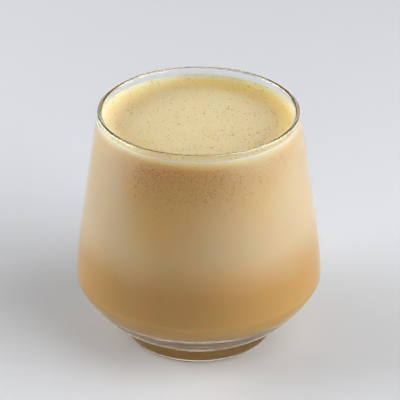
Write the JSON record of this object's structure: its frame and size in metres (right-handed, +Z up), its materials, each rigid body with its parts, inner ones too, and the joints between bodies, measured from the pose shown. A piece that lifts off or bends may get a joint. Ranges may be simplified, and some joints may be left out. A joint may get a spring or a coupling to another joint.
{
  "type": "glass of raf coffee",
  "caption": "Short stemless glass with a wide low belly and sides that taper to the rim, filled nearly to the brim with frothed creamy coffee that is darker in its settled lower layer.",
  "frame": {"origin": "centre of the flat ring that the foot stands on", "axes": "+Z up along the glass's axis of turning, from the foot to the rim; +X and +Y are alike"},
  "size_m": [0.0922, 0.0922, 0.0915],
  "materials": {
    "glass": "clear pressed and fire-polished soda-lime glass",
    "coffee": "opaque creamy coffee, smooth and wet against the glass",
    "foam": "fine pale froth with pin-sized bubbles"
  },
  "bodies": {
    "root": {"glass": "glass", "coffee": "coffee", "foam": "foam"}
  },
  "joints": []
}
